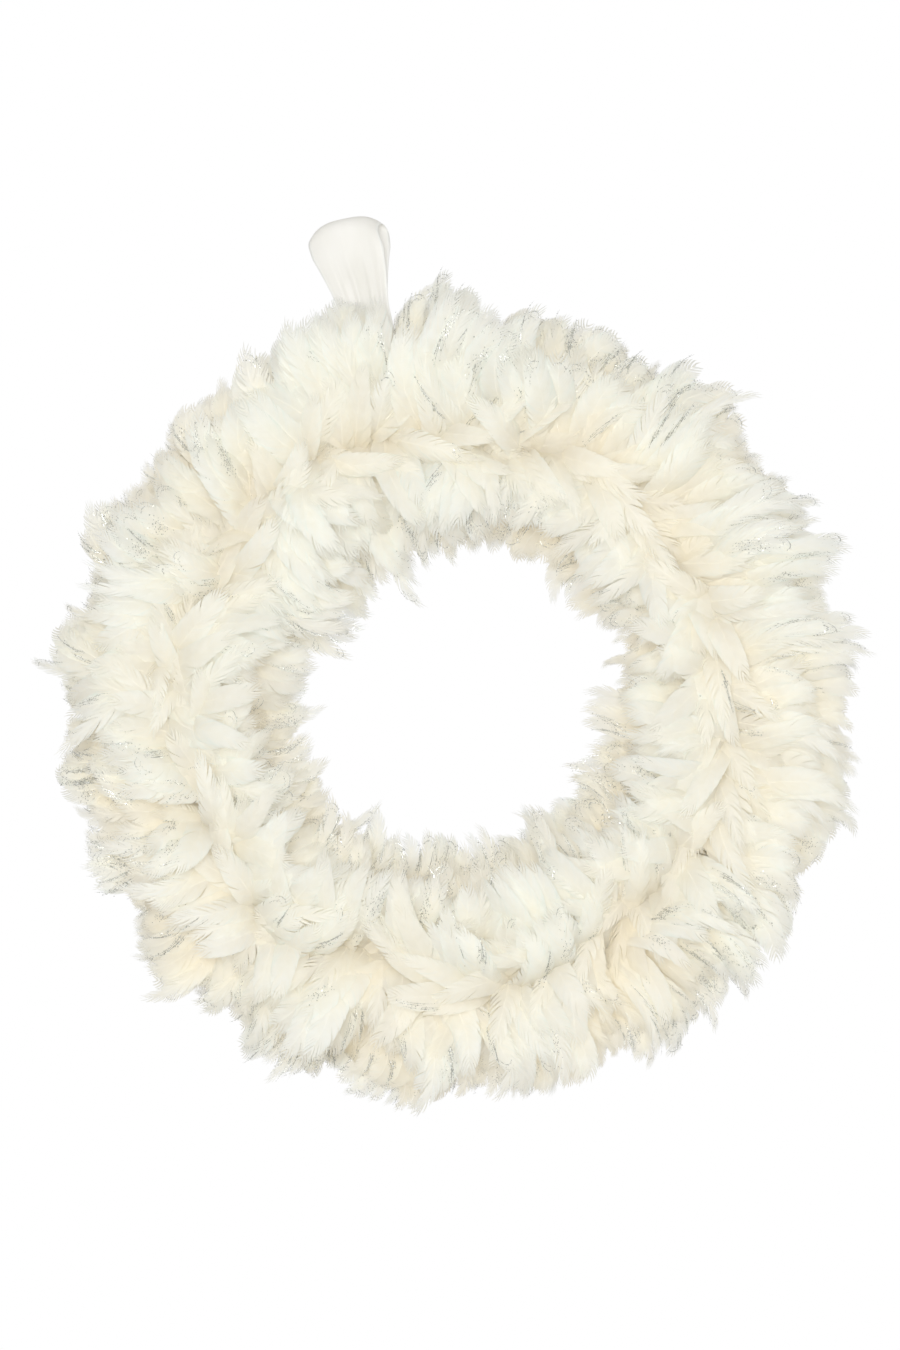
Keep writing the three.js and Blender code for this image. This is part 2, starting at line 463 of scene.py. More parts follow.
def barbs(rng, fullness, fray):
    """The strips of a vane, as (points along it, half-widths, tilts)."""
    t = STATIONS
    for side in (-1, 1):
        places = np.linspace(0, 1, BARBS)
        splits = rng.uniform(0.25, 0.98, rng.integers(1, 4) + int(3 * fray))
        pull = np.zeros(BARBS)
        for split in splits:
            away = places - split
            depth = rng.uniform(0.008, 0.022) * (1 + fray)
            pull += depth * np.sign(away) * np.exp(-np.abs(away) / 0.05)
        lift = 0.05 * np.sin(places * 7 + rng.uniform(0, 6)) + rng.normal(0, 0.012 + 0.04 * fray, BARBS)
        for i, place in enumerate(places):
            end = 0.17 + 0.85 * place ** 0.9
            width = float(vane_half_width(end, fullness))
            start = end - 0.16 * (0.35 + 0.65 * width)
            width = max(0.03, width + rng.normal(0, 0.012 + 0.07 * fray * place))
            end += pull[i] + abs(rng.normal(0, 0.003 + 0.03 * fray * place))
            s = start + (end - start) * (0.62 * t + 0.38 * t * t)
            x = side * width * (1.3 * t - 0.3 * t * t)
            z = lift[i] * t * t - CAMBER * x * x
            narrow = 1 - 0.55 * fray * t
            half = 0.018 * np.array([0.95, 1.0, 1.0, 0.7]) * narrow
            tilt = side * np.array([0.0, 0.018, 0.02, 0.01])
            yield np.stack([s, x, z], axis=1), half, tilt


def down(rng, strands):
    """Soft strands at the foot of the vane."""
    t = STATIONS
    for i in range(strands):
        side = 1 if i % 2 else -1
        start = rng.uniform(-0.02, 0.2)
        reach = rng.uniform(0.6, 1.25)
        forward = rng.uniform(0.1, 0.34)
        droop = rng.normal(0, 0.3)
        s = start + forward * t ** 1.4 + rng.normal(0, 0.01, len(t)) * t
        x = side * reach * np.sin(t * 1.35) / math.sin(1.35) + rng.normal(0, 0.04, len(t)) * t
        z = droop * t + 0.12 * np.sin(t * 4 + rng.uniform(0, 6))
        half = 0.0052 * np.array([1.0, 0.9, 0.7, 0.1])
        tilt = side * np.array([0.0, 0.02, 0.02, 0.0])
        yield np.stack([s, x, z], axis=1), half, tilt


def add_shaft(shape):
    """A three-sided quill that thins to nothing at the tip."""
    points, faces = [], []
    for s in np.linspace(-0.05, 0.94, SHAFT_STEPS + 1):
        thick = 0.036 * (1 - s) ** 0.8 + 0.004
        for angle in (0.5, 2.6, 4.7):
            points.append((s, thick * math.cos(angle), thick * math.sin(angle) * 0.8))
    for i in range(SHAFT_STEPS):
        for j in range(3):
            k = (j + 1) % 3
            faces.append((3 * i + j, 3 * i + k, 3 * i + 3 + k, 3 * i + 3 + j))
    shape.add(points, faces, SHAFT, [p[0] for p in points])


def make_feather(seed, fray):
    """A template: its vane, down and shaft. Fray goes from 0, whole, to 1, all loose barbs."""
    rng = np.random.default_rng(seed)
    shape = Shape()
    fullness = rng.uniform(0.8, 1.2) if fray else rng.uniform(1.2, 2.4)
    for path, half, tilt in barbs(rng, fullness, fray):
        points, faces = strip(path, half, tilt)
        streak = rng.normal(0, 0.1)
        # tone grows along the feather and towards its rims: the paler rims are a painted highlight, the
        # warmer feet partly painted shade; streak is each tuft's own random tone
        shape.add(points, faces, VANE, [0.65 * p[0] + 0.45 * p[1] ** 2 + streak for p in points])
    for path, half, tilt in down(rng, DOWN_STRANDS):
        points, faces = strip(path, half, tilt)
        shape.add(points, faces, VANE, [0.0] * len(points))
    add_shaft(shape)
    return shape.arrays()


def add_flakes(shape, rng, centres, size):
    """Small square flakes of glitter at (s, x) places on the vane, each tilted its own way. Size in mm."""
    points, faces = [], []
    for s, x in centres:
        turn_by = rng.uniform(0, math.pi / 2)
        grow = size * rng.uniform(0.6, 1.25)
        slope = rng.normal(0, 0.35, 2)
        height = 0.05 - CAMBER * x * x + abs(rng.normal(0, 0.02))
        for corner in range(4):
            angle = turn_by + corner * math.pi / 2
            along, across = grow * math.cos(angle), grow * math.sin(angle)
            rise = (along * slope[0] + across * slope[1]) / MIDDLE_WIDTH
            points.append((s + along / MIDDLE_LENGTH, x + across / MIDDLE_WIDTH, height + rise))
        first = len(points) - 4
        faces.append((first, first + 1, first + 2, first + 3))
    shape.add(points, faces, GLITTER, [1.0] * len(points))


def add_stroke(shape, rng, s, x, thick):
    """A thin line of glitter along (s, x) places on the vane, with flakes beside it. Thick is in mm."""
    along, across = np.gradient(s) * MIDDLE_LENGTH, np.gradient(x) * MIDDLE_WIDTH
    norm = np.hypot(along, across)
    taper = np.sin(np.linspace(0.1, math.pi - 0.1, len(s)))
    half = thick / 2 * taper * rng.choice([0.1, 0.7, 1.3], len(s))
    s_off, x_off = -across / norm * half / MIDDLE_LENGTH, along / norm * half / MIDDLE_WIDTH
    height = 0.045 - CAMBER * x * x
    points, faces = [], []
    for i in range(len(s)):
        points.append((s[i] - s_off[i], x[i] - x_off[i], height[i]))
        points.append((s[i] + s_off[i], x[i] + x_off[i], height[i]))
    for i in range(len(s) - 1):
        faces.append((2 * i, 2 * i + 1, 2 * i + 3, 2 * i + 2))
    shape.add(points, faces, GLITTER, [1.0] * len(points))
    count = int(np.sum(norm) * 0.7)
    pick = rng.uniform(0, len(s) - 1, count)
    steps = np.arange(len(s))
    centres_s = np.interp(pick, steps, s) + rng.normal(0, 0.4, count) / MIDDLE_LENGTH
    centres_x = np.interp(pick, steps, x) + rng.normal(0, 0.4, count) / MIDDLE_WIDTH
    add_flakes(shape, rng, zip(centres_s, centres_x), 0.26)


def make_glitter(seed, kind):
    """One feather's glitter. Kinds: 0 strokes along a rim, 1 over the tip, 2 along barbs, 3 a patch."""
    rng = np.random.default_rng(seed)
    shape = Shape()
    side = rng.choice([-1, 1])
    if kind == 0:
        for inset in (0.9, 0.78, 0.64, 0.5):
            s = np.linspace(rng.uniform(0.45, 0.7), rng.uniform(0.78, 0.95), 7)
            x = side * inset * vane_half_width(s, 1.8)
            add_stroke(shape, rng, s, x, rng.uniform(*STROKE_THICKNESS))
    elif kind == 1:
        for inset in (1.0, 0.75):
            around = side * np.linspace(-rng.uniform(0.1, 0.7), rng.uniform(0.6, 1.5), 8)
            s, x = 0.76 + 0.19 * inset * np.cos(around), 0.76 * inset * np.sin(around)
            add_stroke(shape, rng, s, x, rng.uniform(*STROKE_THICKNESS))
    elif kind == 2:
        for start in rng.uniform(0.45, 0.74, 7):
            t = np.linspace(0, 1, 5)
            run = rng.uniform(0.16, 0.3)
            begin = rng.uniform(0.1, 0.4)
            x = side * (begin + (0.8 - begin) * run / 0.3 * t)
            add_stroke(shape, rng, start + run * t ** 1.2, x, rng.uniform(*STROKE_THICKNESS))
    else:
        centre = (rng.uniform(0.6, 0.82), rng.uniform(-0.4, 0.4))
        s = centre[0] + rng.normal(0, 3.4, PATCH_FLAKES) / MIDDLE_LENGTH
        x = np.clip(centre[1] + rng.normal(0, 2.0, PATCH_FLAKES) / MIDDLE_WIDTH, -0.9, 0.9)
        add_flakes(shape, rng, zip(s, x), 0.3)
    return shape.arrays()


# ---------------------------------------------------------------- laying feathers


def turn(first, second, angle):
    """Turns two directions in their own plane, the first towards the second."""
    c, s = np.cos(angle)[:, None], np.sin(angle)[:, None]
    return first * c + second * s, second * c - first * s


def feather_curves(root, along, up, length, yaw, pitch, roll):
    """Centre line and axes of each feather at FRAME_STEPS places. The turns are totals over its length."""
    side = np.cross(along, up)
    places = np.linspace(REACH[0], REACH[1], FRAME_STEPS)
    step = places[1] - places[0]
    point = root + along * (length * places[0])[:, None]
    rows = []
    for place in places:
        rows.append(np.stack([point, along, side, up], axis=1))
        share = step * (0.45 + 1.1 * max(place, 0.0))
        along, side = turn(along, side, yaw * share)
        along, up = turn(along, up, pitch * share)
        side, up = turn(side, up, roll * share)
        point = point + along * (length * step)[:, None]
    return np.stack(rows, axis=1)


FRONT_Y = cad_low.y - 5 * MM
PRESSED = 7 * MM  # how near the wall or the front feathers start to be pressed flat
DEEP = 42 * MM  # this near to the form's middle, the painted shade is warmest
TIPS = 74 * MM  # and this far from it, the painted highlight is coolest


def smooth(value):
    """From 0 to 1 with a soft start and end."""
    value = np.clip(value, 0, 1)
    return value * value * (3 - 2 * value)


def between_faces(y):
    """Presses feathers flat where they would go through the wall, or stand too far out in front."""
    past_wall = np.maximum(y - (WALL_Y - PRESSED), 0)
    y = np.where(past_wall > 0, WALL_Y - PRESSED * np.exp(-past_wall / PRESSED), y)
    past_front = np.maximum(FRONT_Y + PRESSED - y, 0)
    return np.where(past_front > 0, FRONT_Y + PRESSED * np.exp(-past_front / PRESSED), y)


def painted_depth_shading(points):
    """Painted shade and highlight: how much warmer feathers are coloured close to the form, from 0.5 there
    to -0.3 at their tips, standing in for shade deep in the plumage and light on the tips.
    """
    from_axis = np.hypot(points[..., 0] - CENTRE.x, points[..., 2] - CENTRE.z) - RING_RADIUS
    above = np.hypot(from_axis, WALL_Y - FORM_BACK - points[..., 1])
    return 0.5 - 0.8 * smooth((above - DEEP) / (TIPS - DEEP))


def lay(templates, choice, curves, width, tint):
    """Bends each feather's template along its curve and returns one mesh's arrays."""
    parts = {"points": [], "sizes": [], "corners": [], "kinds": [], "tone": [], "tint": []}
    first = 0
    for index, template in enumerate(templates):
        mine = np.flatnonzero(choice == index)
        if not len(mine):
            continue
        s, x, z = template["points"].T
        place = (s - REACH[0]) / (REACH[1] - REACH[0]) * (FRAME_STEPS - 1)
        low = np.clip(place.astype(int), 0, FRAME_STEPS - 2)
        share = (place - low)[None, :, None, None]
        at = curves[mine][:, low] * (1 - share) + curves[mine][:, low + 1] * share
        offset = at[:, :, 2] * x[None, :, None] + at[:, :, 3] * z[None, :, None]
        points = at[:, :, 0] + offset * width[mine][:, None, None]
        points[..., 1] = between_faces(points[..., 1])
        count = len(s)
        starts = first + count * np.arange(len(mine))
        parts["points"].append(points.reshape(-1, 3))
        parts["corners"].append((template["corners"][None] + starts[:, None]).ravel())
        parts["sizes"].append(np.tile(template["sizes"], len(mine)))
        parts["kinds"].append(np.tile(template["kinds"], len(mine)))
        parts["tone"].append(np.tile(template["tone"], len(mine)))
        # the tint is each feather's own warmth plus painted shade near the form and a painted highlight at
        # the tips
        parts["tint"].append((tint[mine][:, None] + painted_depth_shading(points)).ravel())
        first += count * len(mine)
    return {key: np.concatenate(value) for key, value in parts.items()}


def join(sets):
    """Puts several meshes' arrays into one."""
    first = 0
    for arrays in sets:
        arrays["corners"] = arrays["corners"] + first
        first += len(arrays["points"])
    return {key: np.concatenate([arrays[key] for arrays in sets]) for key in sets[0]}


def mesh_object(name, arrays, materials):
    mesh = bpy.data.meshes.new(name)
    mesh.vertices.add(len(arrays["points"]))
    mesh.vertices.foreach_set("co", arrays["points"].astype(np.float32).ravel())
    mesh.loops.add(len(arrays["corners"]))
    mesh.loops.foreach_set("vertex_index", arrays["corners"].astype(np.int32))
    mesh.polygons.add(len(arrays["sizes"]))
    starts = np.concatenate([[0], np.cumsum(arrays["sizes"])[:-1]])
    mesh.polygons.foreach_set("loop_start", starts.astype(np.int32))
    mesh.polygons.foreach_set("material_index", arrays["kinds"].astype(np.int32))
    mesh.update(calc_edges=True)
    mesh.validate()
    for key in ("tone", "tint"):
        layer = mesh.attributes.new(key, "FLOAT", "POINT")
        layer.data.foreach_set("value", arrays[key].astype(np.float32))
    mesh.shade_smooth()
    for material in materials:
        mesh.materials.append(material)
    made = bpy.data.objects.new(name, mesh)
    bpy.context.scene.collection.objects.link(made)
    return made


def wobble(angle, seed, low, high):
    """A smooth random wave round the ring, about -1 to 1, with between low and high swings."""
    rng = np.random.default_rng(seed)
    total = np.zeros_like(angle)
    for swings in rng.integers(low, high + 1, 6):
        total += np.sin(swings * angle + rng.uniform(0, 2 * math.pi))
    return total / 2.4


# Each course: its place round the section, how its feathers leave the form, how far they droop,
# their length and width, how far they lean and curl round the ring, how many there are, what share
# of them has glitter, how warm their cream is, from 0 to 1, what share has loose tips, and how far
# they follow the wander of the crest's parting, from 0 to 1. Degrees and mm.
COURSES = {
    "outer_back": dict(at=(3, 12), leave=8, droop=2, length=29, width=5.3,
                       lean=-34, curl=80, count=230, shine=0.9, warm=0.12, fray=0.6, wander=0),
    "outer_side": dict(at=(18, 38), leave=26, droop=-14, length=31.5, width=5.7,
                       lean=-36, curl=88, count=240, shine=0.75, warm=0.18, fray=0.6, wander=0),
    "outer_front": dict(at=(42, 68), leave=46, droop=-58, length=43, width=6.6,
                        lean=-36, curl=90, count=260, shine=0.55, warm=0.3, fray=0.15, wander=0),
    "outer_crest": dict(at=(72, 103), leave=66, droop=-68, length=58, width=7,
                        lean=-32, curl=84, count=270, shine=0.3, warm=0.3, fray=0.15, wander=0.5),
    "inner_crest": dict(at=(100, 122), leave=112, droop=-66, length=54, width=7,
                        lean=-44, curl=84, count=230, shine=0.2, warm=0.36, fray=0.15, wander=0.5),
    "inner_front": dict(at=(122, 142), leave=134, droop=-46, length=53, width=6.6,
                        lean=-54, curl=92, count=200, shine=0.42, warm=0.5, fray=0.15, wander=0),
    "inner_side": dict(at=(144, 162), leave=156, droop=-22, length=52, width=6,
                       lean=-52, curl=88, count=180, shine=0.44, warm=0.5, fray=0.6, wander=0),
    "inner_back": dict(at=(168, 177), leave=175, droop=0, length=44, width=5.6,
                       lean=-44, curl=80, count=140, shine=0.42, warm=0.36, fray=0.6, wander=0),
}
# Two more sets, without a tape of their own, whose feathers cross over where the crest courses part.
CROWN = {
    "outer_crown": dict(at=(88, 118), leave=82, droop=-84, length=60, width=7,
                        lean=-26, curl=52, count=240, shine=0.16, warm=0.26, fray=0.15, wander=1),
    "inner_crown": dict(at=(80, 108), leave=100, droop=-78, length=54, width=7,
                        lean=-30, curl=52, count=210, shine=0.16, warm=0.32, fray=0.15, wander=1),
}
CLUMPS = 36  # tufts in one outer course
LUMPS = 0.125  # how much the feathers' length changes from one lump of the outline to the next
STRAYS = 0.07  # share of feathers that stand out past their neighbours; outside, more do at the bottom
HOLE_OVAL = 0.13  # how much the inner feathers' length changes round the ring
HOLE_TURN = math.radians(80)  # where they are shortest, clockwise from the top, and opposite
OFF_CENTRE = 0.085  # how much longer the outer feathers are, and shorter the inner ones, to one side
OFF_CENTRE_TURN = math.radians(65)  # which side, clockwise from the top
RIBBON_TUFT = 0.27  # how much longer the outer feathers are where they hide the ribbon's foot
RIBBON_REACH = math.radians(22)
RIBBON_TUFT_TURN = math.radians(1)  # the tuft is a little clockwise of the ribbon
PARTING_STRAY = math.radians(11)  # how far the crest's parting wanders round the section
TILT = -36  # degrees each feather is turned about its quill, so that they overlap one way round
# seeds of the waves round the ring that all the courses share
INNER_LUMP_WAVE, OUTER_LUMP_WAVE, PARTING_WAVE, BREADTH_WAVE, SHINE_WAVE = 5, 6, 7, 8, 9


def meander(angle):
    """How far the crest's parting strays from the middle of the form round the ring, as an angle."""
    return PARTING_STRAY * wobble(angle, PARTING_WAVE, 2, 7)


def outline(angle, inner):
    """How much longer than usual a course's feathers are round the ring, as a share of their length."""
    if inner:
        oval = HOLE_OVAL * np.cos(2 * (angle - HOLE_TURN))
        shape = -OFF_CENTRE * np.cos(angle - OFF_CENTRE_TURN) - oval
        return LUMPS * wobble(angle, INNER_LUMP_WAVE, 12, 26) + shape
    off_ribbon = np.sin((angle - RIBBON_TUFT_TURN) / 2) / math.sin(RIBBON_REACH / 2)
    tuft = RIBBON_TUFT * np.exp(-off_ribbon ** 2)
    shape = OFF_CENTRE * np.cos(angle - OFF_CENTRE_TURN) + tuft
    return LUMPS * wobble(angle, OUTER_LUMP_WAVE, 12, 26) + shape


def plumage(name, sets, materials):
    """Joins feathers and their glitter into one piece that rides the wreath."""
    piece = mesh_object(f"plumage_{name}", join(sets), materials)
    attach(piece, "wreath")
    return piece


def lay_course(name, course, seed, stock, materials):
    """One course of feathers round the ring. Positive turns go the same way on both sides of the crest."""
    rng = np.random.default_rng(seed)
    count = course["count"]
    inner = course["leave"] > 90
    sign = -1 if inner else 1
    angle = (np.arange(count) + rng.uniform(-0.4, 0.4, count)) / count * 2 * math.pi
    outward, front, _ = ring_axes(angle)

    # neighbours gather into tufts, and each tuft has a lean, lift, length and tint of its own
    clumps = CLUMPS * 2 // 3 if inner else CLUMPS
    cell = angle / (2 * math.pi) * clumps + 0.6 * wobble(angle, seed + 1, 3, 9) + clumps
    clump = np.floor(cell).astype(int) % clumps
    within = (cell % 1.0) - 0.5
    gather = np.radians(-16) * within

    def spread(size):
        """A random amount for each feather."""
        return rng.normal(0, size, count)

    def own(size):
        """A random amount for each tuft."""
        return rng.normal(0, size, clumps)[clump]

    # where the feathers start and which way they leave
    first, last = course["at"]
    place = np.clip(own(0.3) + spread(0.15), -0.6, 0.6)
    crossing = meander(angle) * course["wander"]
    section = np.radians((first + last) / 2 + (last - first) * place) + 0.5 * crossing
    root = root_point(angle, section)
    lift = np.radians(own(6) + spread(2.5))
    leave = np.radians(course["leave"]) + crossing + lift * sign
    along = outward * np.cos(leave)[:, None] + front * np.sin(leave)[:, None]
    up = (front * np.cos(leave)[:, None] - outward * np.sin(leave)[:, None]) * sign
    lean = sign * np.radians(course["lean"] + own(8) + spread(4)) + gather
    along, side = turn(along, np.cross(along, up), lean)
    tilt = sign * np.radians(TILT + own(9) + spread(5))
    side, up = turn(side, up, tilt)

    # how they bend over their length
    loose = name in CROWN
    curl = sign * np.radians(course["curl"] + own(28 if loose else 9) + spread(14 if loose else 6))
    droop = np.radians(course["droop"] + own(5) + spread(4))
    roll = np.radians(own(12) + spread(6))

    # how long, broad and warm they are
    stray = rng.random(count) < STRAYS * (1 if inner else 1.5 - np.cos(angle))
    reach = 1 + outline(angle, inner) + own(0.075) + spread(0.04) - 0.14 * np.abs(within)
    length = course["length"] * MM * (reach + stray * rng.uniform(0.08, 0.28, count))
    broad = (1 + 0.2 * wobble(angle, BREADTH_WAVE, 1, 5)) * np.where(stray, 0.75, 1)
    width = course["width"] * MM * broad * (rng.uniform(0.86, 1.14, count) + own(0.06))
    tint = np.clip(course["warm"] + own(0.13) + spread(0.1), 0, 1)
    curves = feather_curves(root, along, up, length, curl, droop, roll)

    ragged = stray | (rng.random(count) < course["fray"])
    ragged_kind = rng.integers(TEMPLATES - FRAYED, TEMPLATES, count)
    whole_kind = rng.integers(0, TEMPLATES - FRAYED, count)
    kind = np.where(ragged, ragged_kind, whole_kind)
    sets = [lay(stock["feathers"], kind, curves, width, tint)]
    shine = course["shine"] * (1 + 0.7 * wobble(angle, SHINE_WAVE, 2, 6) + own(0.5))
    for _ in range(GLITTER_COATS):
        lit = rng.random(count) < shine
        pick = np.where(lit, rng.integers(0, GLITTER_TEMPLATES, count), -1)
        sets.append(lay(stock["glitter"], pick, curves, width, tint))
    return plumage(name, sets, materials)


# Loose feathers that fall to one side over the crest's parting: how many there are, their place round
# the section, which way they fall, outward from along the ring, and how far they curl. Degrees.
PARTING = {
    "outer": dict(count=240, at=126, fall=69, curl=24),
    "inner": dict(count=200, at=105, fall=-69, curl=-24),
}
PARTING_LENGTH = (50, 70)  # mm
PARTING_WIDTH = (5.8, 7.8)  # mm
PARTING_WARM = (0.25, 0.75)
PARTING_SHINE = 0.12  # the share that has glitter


def lay_parting(name, seed, stock, materials):
    """Loose feathers that stand near the top of the crest and fall outward or inward over its parting."""
    rng = np.random.default_rng(seed)
    parting = PARTING[name]
    count = parting["count"]
    angle = (np.arange(count) + rng.uniform(-0.5, 0.5, count)) / count * 2 * math.pi
    section = np.radians(parting["at"] + rng.normal(0, 4, count)) + meander(angle)
    outward, front, clockwise = ring_axes(angle)
    wave = 14 * wobble(angle, seed + 1, 4, 11)
    towards = np.radians(parting["fall"] + wave + rng.normal(0, 28, count))
    fall = clockwise * np.cos(towards)[:, None] + outward * np.sin(towards)[:, None]
    leave = np.radians(rng.normal(80, 6, count))
    along = front * np.sin(leave)[:, None] + fall * np.cos(leave)[:, None]
    up = front * np.cos(leave)[:, None] - fall * np.sin(leave)[:, None]
    length = rng.uniform(*PARTING_LENGTH, count) * MM
    _, up = turn(np.cross(along, up), up, np.radians(rng.normal(0, 24, count)))
    yaw = np.radians(parting["curl"] + rng.normal(0, 40, count))
    pitch = np.radians(rng.normal(-92, 8, count))
    roll = np.radians(rng.normal(0, 18, count))
    curves = feather_curves(root_point(angle, section), along, up, length, yaw, pitch, roll)
    width = rng.uniform(*PARTING_WIDTH, count) * MM
    kind = rng.integers(0, TEMPLATES, count)
    tint = rng.uniform(*PARTING_WARM, count)
    sets = [lay(stock["feathers"], kind, curves, width, tint)]
    lit = rng.random(count) < PARTING_SHINE
    pick = np.where(lit, rng.integers(0, GLITTER_TEMPLATES, count), -1)
    sets.append(lay(stock["glitter"], pick, curves, width, tint))
    plumage(f"parting_{name}", sets, materials)


def lay_plumage():
    """Every set of feathers. Each course takes the place of its CAD solid."""
    frays = [0.0] * (TEMPLATES - FRAYED) + [0.5] * FRAYED
    stock = {
        "feathers": [make_feather(100 + i, fray) for i, fray in enumerate(frays)],
        "glitter": [make_glitter(200 + i, i % 4) for i in range(GLITTER_TEMPLATES)],
    }
    materials = [feather_vane(), feather_shaft(), silver_glitter()]
    for index, (name, course) in enumerate(COURSES.items()):
        piece = lay_course(name, course, 1000 + 50 * index, stock, materials)
        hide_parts(f"feathers_{name}")
    for index, (name, course) in enumerate(CROWN.items()):
        lay_course(name, course, 2000 + 50 * index, stock, materials)
    for index, name in enumerate(PARTING):
        lay_parting(name, 3000 + 50 * index, stock, materials)


# ---------------------------------------------------------------- ribbon

RIBBON_WIDTH = 38 * MM
GATHERED_WIDTH = 25 * MM  # where it goes into the feathers and round the form
RIBBON_THICKNESS = 0.26 * MM
HINGE_Z = frame["record"]["behaviour"]["joints"][0]["pos_m"][2]
LOOP_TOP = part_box("hanging_loop")[1].z - 0.3 * MM
RIBBON_OFFSET = 1.8 * MM  # from the form's face to the ribbon
LEG_GAP = 0.55 * MM  # from the loop's middle to each leg
LOOP_BULGE = 6.2 * MM  # from the loop's middle to each side under the fold
FOLD_HEIGHT = 6.5 * MM
FAN = 2.6 * MM  # how far each side of the loop is turned away from the other at the fold
CUP = 4.2 * MM  # how far its edges bend towards the wall at the fold
CUPPED_WIDTH = 36 * MM  # what the cupped ribbon spans at the fold
FLARE = (-6 * MM, 26 * MM)  # from the hinge, where it starts to spread and where it is widest
CORNER_DROP = 6.0 * MM  # how much lower its edges are than its middle at the fold
CORNER_HEIGHT = 26 * MM  # how far below the fold they start to drop
CORNER_RADIUS = 1.5 * MM  # where it turns at the edges of the form's back
PLEATS = 3.5
PLEAT_DEPTH = 0.9 * MM
RIPPLE = 0.35 * MM
ACROSS_STEPS = 30


def ribbon_path():
    """Places (y, z, side) along the ribbon, from one leg's foot over the fold and round the form."""
    foot = CENTRE.z + RING_RADIUS + FORM_HALF_WIDTH + RIBBON_OFFSET
    shoulder = LOOP_TOP - FOLD_HEIGHT
    up_leg = np.linspace(foot + 3 * MM, HINGE_Z, 14)[:-1]
    up_loop = np.linspace(HINGE_Z, shoulder, 16)[:-1]
    share = (up_loop - HINGE_Z) / (shoulder - HINGE_Z)
    swell = LEG_GAP + (LOOP_BULGE - LEG_GAP) * np.sin(smooth(share * 0.98) * math.pi / 2)
    over = np.linspace(0, math.pi, 17)
    y = np.concatenate([-LEG_GAP + 0 * up_leg, -swell, -LOOP_BULGE * np.cos(over)])
    z = np.concatenate([up_leg, up_loop, shoulder + FOLD_HEIGHT * np.sin(over)])
    side = np.concatenate([-1 + 0 * up_leg, -1 + 0 * up_loop, -np.cos(over)])
    y = np.concatenate([y, swell[::-1], LEG_GAP + 0 * up_leg])
    z = np.concatenate([z, up_loop[::-1], up_leg[::-1]])
    side = np.concatenate([side, 1 + 0 * up_loop, 1 + 0 * up_leg])

    # down behind the form, along its flat back and over its front to the first leg
    back = FORM_BACK - RIBBON_OFFSET
    reach = FORM_HALF_WIDTH + RIBBON_OFFSET
    inset = reach - CORNER_RADIUS
    low = [(reach, FORM_BACK + 4 * MM), (reach, back + CORNER_RADIUS), (inset, back)]
    flat = [(u, back) for u in np.linspace(inset, -inset, 12)[1:]]
    turn_in = [(-reach, back + CORNER_RADIUS), (-reach, FORM_BACK)]
    start = math.asin((WALL_Y - FORM_BACK) / (FORM_HEIGHT + RIBBON_OFFSET)) + 0.06
    arc = [(reach * math.cos(t), FORM_BACK + (FORM_HEIGHT + RIBBON_OFFSET) * math.sin(t))
           for t in np.linspace(math.pi, start, 26)[1:]]
    round_form = np.array(low + flat + turn_in + arc)
    y = np.concatenate([y, WALL_Y - round_form[:, 1]])
    z = np.concatenate([z, CENTRE.z + RING_RADIUS + round_form[:, 0]])
    side = np.concatenate([side, 0 * round_form[:, 0]])
    return y, z, side


